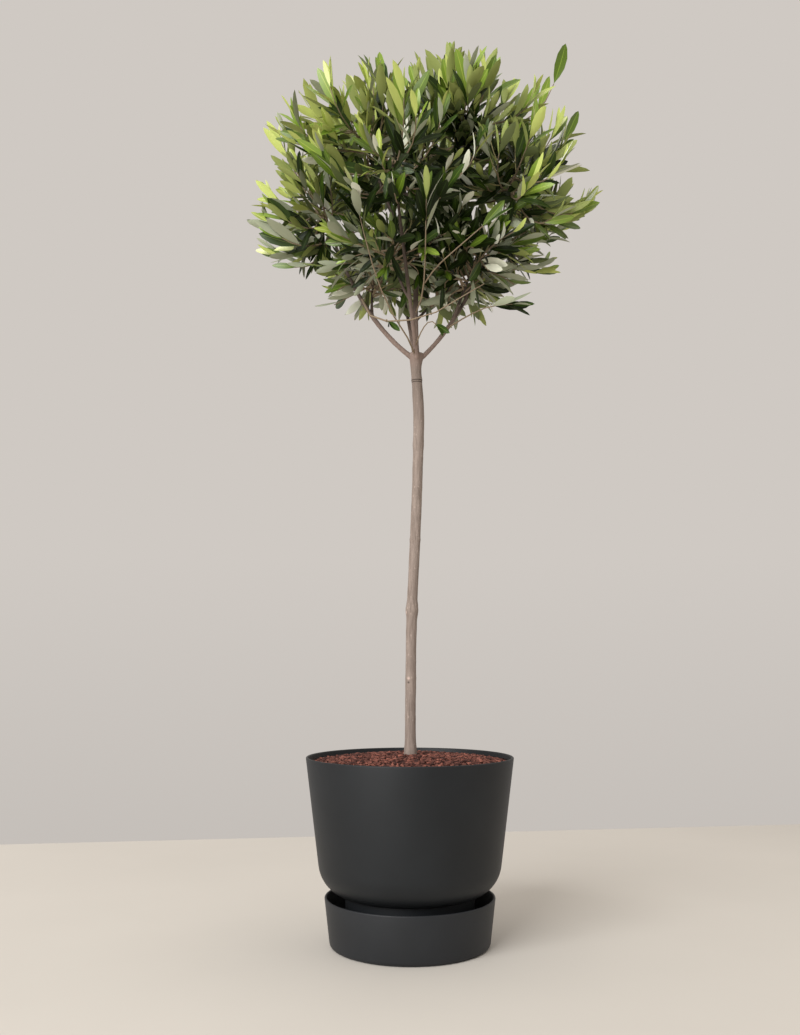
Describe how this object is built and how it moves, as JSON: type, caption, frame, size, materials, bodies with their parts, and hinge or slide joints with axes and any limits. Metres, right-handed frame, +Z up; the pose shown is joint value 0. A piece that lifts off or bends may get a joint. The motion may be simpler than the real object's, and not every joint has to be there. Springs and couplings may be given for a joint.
{
  "type": "potted olive tree",
  "caption": "Young standard olive tree with a slim clear trunk and a round open crown of narrow leaves, in a tall tapered round planter on a deep saucer.",
  "frame": {"origin": "centre of the saucer's flat underside, where the planter stands on the floor", "axes": "+Z up along the planter's axis, -Y towards the viewer of the picture's front, +X to that viewer's right"},
  "size_m": [0.449, 0.4304, 1.1516],
  "materials": {
    "planter": "matt anthracite plastic with a fine even grain",
    "soil": "loose red-brown bark granules and potting compost",
    "bark": "grey-brown young bark, smooth with fine upright lines and small pale scars",
    "foliage": "leathery evergreen leaves, mid to dark green above and silvery grey-green below"
  },
  "bodies": {
    "root": {"saucer": "planter", "pot": "planter", "soil": "soil", "trunk": "bark", "leader": "bark", "bough_left": "bark", "bough_right": "bark", "bough_front": "bark", "bough_back": "bark", "side_upper_1": "bark", "side_upper_2": "bark", "side_upper_3": "bark", "side_upper_4": "bark", "side_middle_3": "bark", "side_lower_1": "bark", "side_lower_2": "bark", "side_lower_3": "bark", "side_lower_4": "bark", "foliage_top_1": "foliage", "foliage_upper_1": "foliage", "foliage_upper_2": "foliage", "foliage_upper_3": "foliage", "foliage_upper_4": "foliage", "foliage_middle_1": "foliage", "foliage_middle_2": "foliage", "foliage_middle_3": "foliage", "foliage_middle_4": "foliage", "foliage_middle_5": "foliage", "foliage_lower_1": "foliage", "foliage_lower_2": "foliage", "foliage_lower_3": "foliage", "foliage_lower_4": "foliage"}
  },
  "joints": []
}
